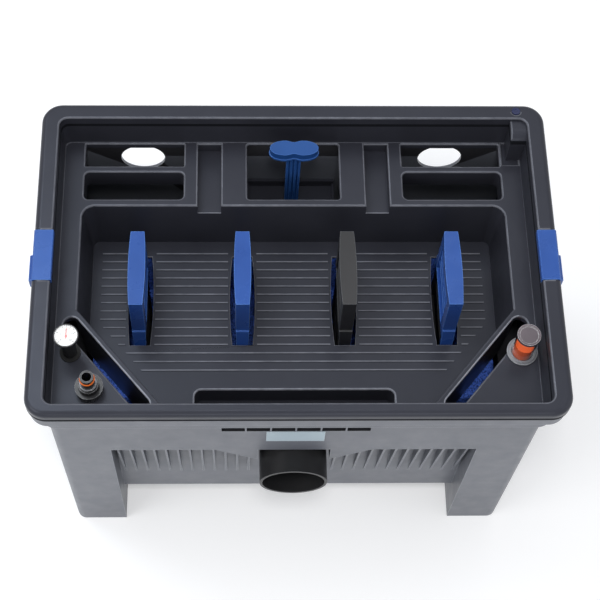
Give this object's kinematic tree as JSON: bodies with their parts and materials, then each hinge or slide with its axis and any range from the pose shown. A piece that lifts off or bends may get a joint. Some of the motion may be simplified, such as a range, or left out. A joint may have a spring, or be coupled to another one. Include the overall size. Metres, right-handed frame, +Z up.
{
  "type": "gravity pond filter",
  "caption": "Box-shaped gravity pond filter on legs with a tray lid, lift handles that squeeze the foams, sludge valve, thermometer and cleaning indicator.",
  "frame": {"origin": "middle of the footprint, on the ground", "axes": "+X to the right seen from the outlet side, +Y from the outlet side towards the inlets, +Z up"},
  "size_m": [0.606, 0.406, 0.445],
  "materials": {
    "tub_grey": "moulded, fine grain",
    "lid_charcoal": "moulded, satin",
    "handle_blue": "moulded, glossy",
    "handle_charcoal": "moulded, satin",
    "valve_blue": "moulded, glossy",
    "black_plastic": "moulded, satin",
    "inner_black": "moulded, dull",
    "filter_foam": "open-pored filter foam",
    "black_rubber": "soft seal",
    "orange_rubber": "soft seal",
    "stainless": "brushed",
    "clear_plastic": "clear",
    "dial_white": "printed face",
    "needle_red": "painted",
    "float_orange": "moulded, glossy",
    "ring_grey": "moulded, glossy",
    "label_white": "blank film",
    "plug_blue": "moulded, glossy"
  },
  "bodies": {
    "housing": {"tub": "tub_grey", "lid": "lid_charcoal", "lid_gasket": "black_rubber", "clip_pins": "stainless", "foam_1": "filter_foam", "foam_2": "filter_foam", "foam_3": "filter_foam", "foam_4": "filter_foam", "support_grid": "inner_black", "partition": "inner_black", "valve_body": "inner_black", "gate_seal": "black_rubber", "valve_gasket": "black_rubber", "drain_nut": "black_plastic", "stem_guide": "lid_charcoal", "outlet_pipe": "black_plastic", "outlet_gasket": "black_rubber", "outlet_screws": "stainless", "outlet_strainer": "inner_black", "thermo_case": "black_plastic", "thermo_dial": "dial_white", "thermo_lens": "clear_plastic", "thermo_grommet": "black_rubber", "indicator_base": "ring_grey", "indicator_tube": "clear_plastic", "connector_body": "black_plastic", "connector_o_ring": "orange_rubber", "connector_washer": "ring_grey", "rim_plug": "plug_blue", "label_plate": "label_white"},
    "clip_left": {"clip_left": "handle_blue"},
    "clip_right": {"clip_right": "handle_blue"},
    "sludge_slide": {"t_handle": "valve_blue", "gate": "ring_grey", "gate_pin": "stainless"},
    "needle": {"thermo_needle": "needle_red"},
    "float": {"indicator_float": "float_orange"},
    "hose_nut": {"connector_nut": "black_plastic"},
    "pull_1": {"handle_1": "handle_blue", "carrier_1": "inner_black", "press_plate_1": "inner_black", "handle_screws_1": "stainless"},
    "pull_2": {"handle_2": "handle_blue", "carrier_2": "inner_black", "press_plate_2": "inner_black", "handle_screws_2": "stainless"},
    "pull_3": {"handle_3": "handle_charcoal", "carrier_3": "inner_black", "press_plate_3": "inner_black", "handle_screws_3": "stainless"},
    "pull_4": {"handle_4": "handle_blue", "carrier_4": "inner_black", "press_plate_4": "inner_black", "handle_screws_4": "stainless"}
  },
  "joints": [
    {"name": "pull_1_lift", "type": "slide", "parent": "housing", "child": "pull_1", "axis": [0, 0, 1], "range_m": [0, 0.095], "stiffness_N_per_m": 700, "deforming": ["foam_1"]},
    {"name": "pull_2_lift", "type": "slide", "parent": "housing", "child": "pull_2", "axis": [0, 0, 1], "range_m": [0, 0.095], "stiffness_N_per_m": 700, "deforming": ["foam_2"]},
    {"name": "pull_3_lift", "type": "slide", "parent": "housing", "child": "pull_3", "axis": [0, 0, 1], "range_m": [0, 0.095], "stiffness_N_per_m": 700, "deforming": ["foam_3"]},
    {"name": "pull_4_lift", "type": "slide", "parent": "housing", "child": "pull_4", "axis": [0, 0, 1], "range_m": [0, 0.095], "stiffness_N_per_m": 700, "deforming": ["foam_4"]},
    {"name": "sludge_slide_lift", "type": "slide", "parent": "housing", "child": "sludge_slide", "axis": [0, 0, 1], "range_m": [0, 0.056]},
    {"name": "clip_left_turn", "type": "hinge", "parent": "housing", "child": "clip_left", "pos_m": [-0.2986, -0.004, 0.42], "axis": [0, -1, 0], "range_deg": [0, 100]},
    {"name": "clip_right_turn", "type": "hinge", "parent": "housing", "child": "clip_right", "pos_m": [0.2986, -0.004, 0.42], "axis": [0, 1, 0], "range_deg": [0, 100]},
    {"name": "needle_turn", "type": "hinge", "parent": "housing", "child": "needle", "pos_m": [-0.257, -0.103, 0.44], "axis": [0, 0, 1], "range_deg": [-135, 135]},
    {"name": "float_rise", "type": "slide", "parent": "housing", "child": "float", "axis": [0, 0, 1], "range_m": [0, 0.018]},
    {"name": "hose_nut_turn", "type": "hinge", "parent": "housing", "child": "hose_nut", "pos_m": [-0.233, -0.149, 0.4], "axis": [0, 0, 1], "continuous": true}
  ]
}
